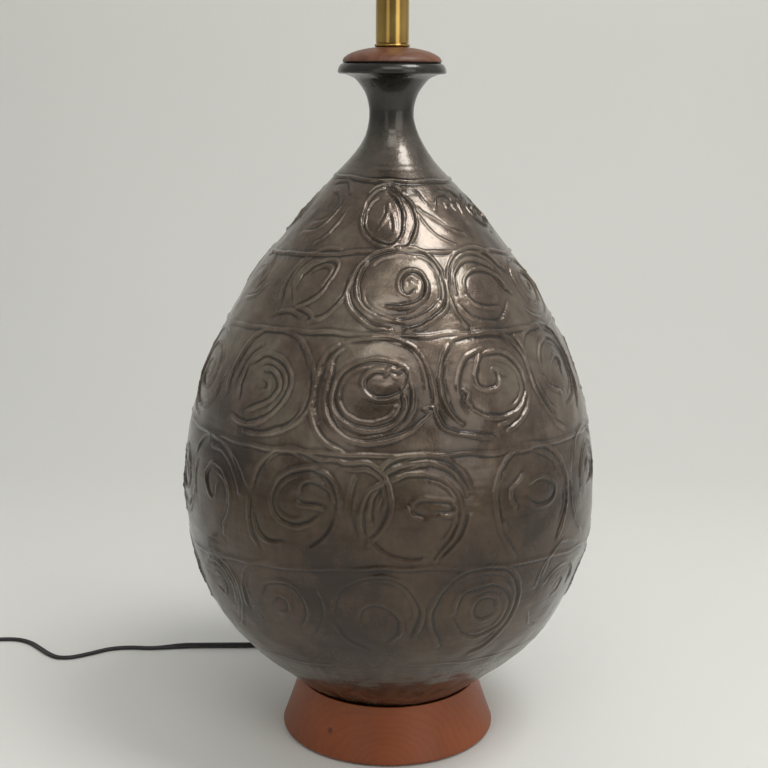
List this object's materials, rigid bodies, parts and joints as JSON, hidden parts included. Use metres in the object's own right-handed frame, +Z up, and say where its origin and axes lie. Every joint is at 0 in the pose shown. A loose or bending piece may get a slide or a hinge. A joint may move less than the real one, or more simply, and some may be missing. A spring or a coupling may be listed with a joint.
{
  "type": "table lamp",
  "caption": "Pottery table lamp with a wide glazed body on a turned walnut base, a brass neck, a lampholder with a turn switch, and a harp with a finial; shown without a shade.",
  "frame": {"origin": "On the lamp's axis, at the underside of the felt pad, on the surface that the lamp stands on", "axes": "+Z up along the lamp's axis; the front, with the switch knob, faces -Y; the cord leaves the base at +Y and lies away to -X"},
  "size_m": [0.6577, 0.3365, 0.876],
  "materials": {
    "felt": "matte black felt",
    "walnut": "oiled, satin",
    "glaze": "dark pewter glaze over raised slip, satin with metallic breaks",
    "brass": "polished",
    "steel": "zinc plated",
    "rubber": "matte",
    "card": "matte fibre card",
    "phenolic": "moulded, satin gloss",
    "aluminium": "bright, pressed",
    "vinyl": "black flexible vinyl"
  },
  "bodies": {
    "lamp": {"felt_pad": "felt", "walnut_base": "walnut", "base_washer": "steel", "base_nut": "steel", "threaded_rod": "steel", "foot_gasket": "rubber", "ceramic_body": "glaze", "rim_gasket": "rubber", "walnut_cap": "walnut", "check_ring": "brass", "brass_neck": "brass", "neck_cap": "brass", "harp_saddle": "brass", "saddle_nut": "steel", "socket_cap": "brass", "socket_set_screw": "steel", "socket_shell": "brass", "insulator_sleeve": "card", "socket_interior": "phenolic", "screw_shell": "aluminium", "centre_contact": "brass", "terminal_screw_hot": "brass", "terminal_screw_neutral": "steel", "cord_bushing": "vinyl", "inner_cord": "vinyl", "wire_hot": "vinyl", "wire_neutral": "vinyl", "cord_run": "vinyl", "cord_coil": "vinyl", "plug_body": "vinyl", "plug_blade_hot": "brass", "plug_blade_neutral": "brass"},
    "switch": {"switch_shaft": "brass", "switch_knob": "phenolic"},
    "harp_wire": {"harp": "brass"},
    "left_sleeve": {"harp_sleeve_left": "brass"},
    "right_sleeve": {"harp_sleeve_right": "brass"},
    "stud": {"swivel_stud": "brass"},
    "finial_turn": {"finial": "brass"}
  },
  "joints": [
    {"name": "switch_turn", "type": "hinge", "parent": "lamp", "child": "switch", "pos_m": [0, -0.0182, 0.6464], "axis": [0, -1, 0], "continuous": true},
    {"name": "harp_lift", "type": "slide", "parent": "lamp", "child": "harp_wire", "axis": [0, 0, 1], "range_m": [0, 0.03]},
    {"name": "left_sleeve_lift", "type": "slide", "parent": "harp_wire", "child": "left_sleeve", "axis": [0, 0, 1], "range_m": [0, 0.012]},
    {"name": "right_sleeve_lift", "type": "slide", "parent": "harp_wire", "child": "right_sleeve", "axis": [0, 0, 1], "range_m": [0, 0.012]},
    {"name": "shade_swivel", "type": "hinge", "parent": "harp_wire", "child": "stud", "pos_m": [0, 0, 0.8416], "axis": [0, 0, 1], "continuous": true},
    {"name": "finial_screw", "type": "hinge", "parent": "stud", "child": "finial_turn", "pos_m": [0, 0, 0.8512], "axis": [0, 0, 1], "continuous": true}
  ]
}
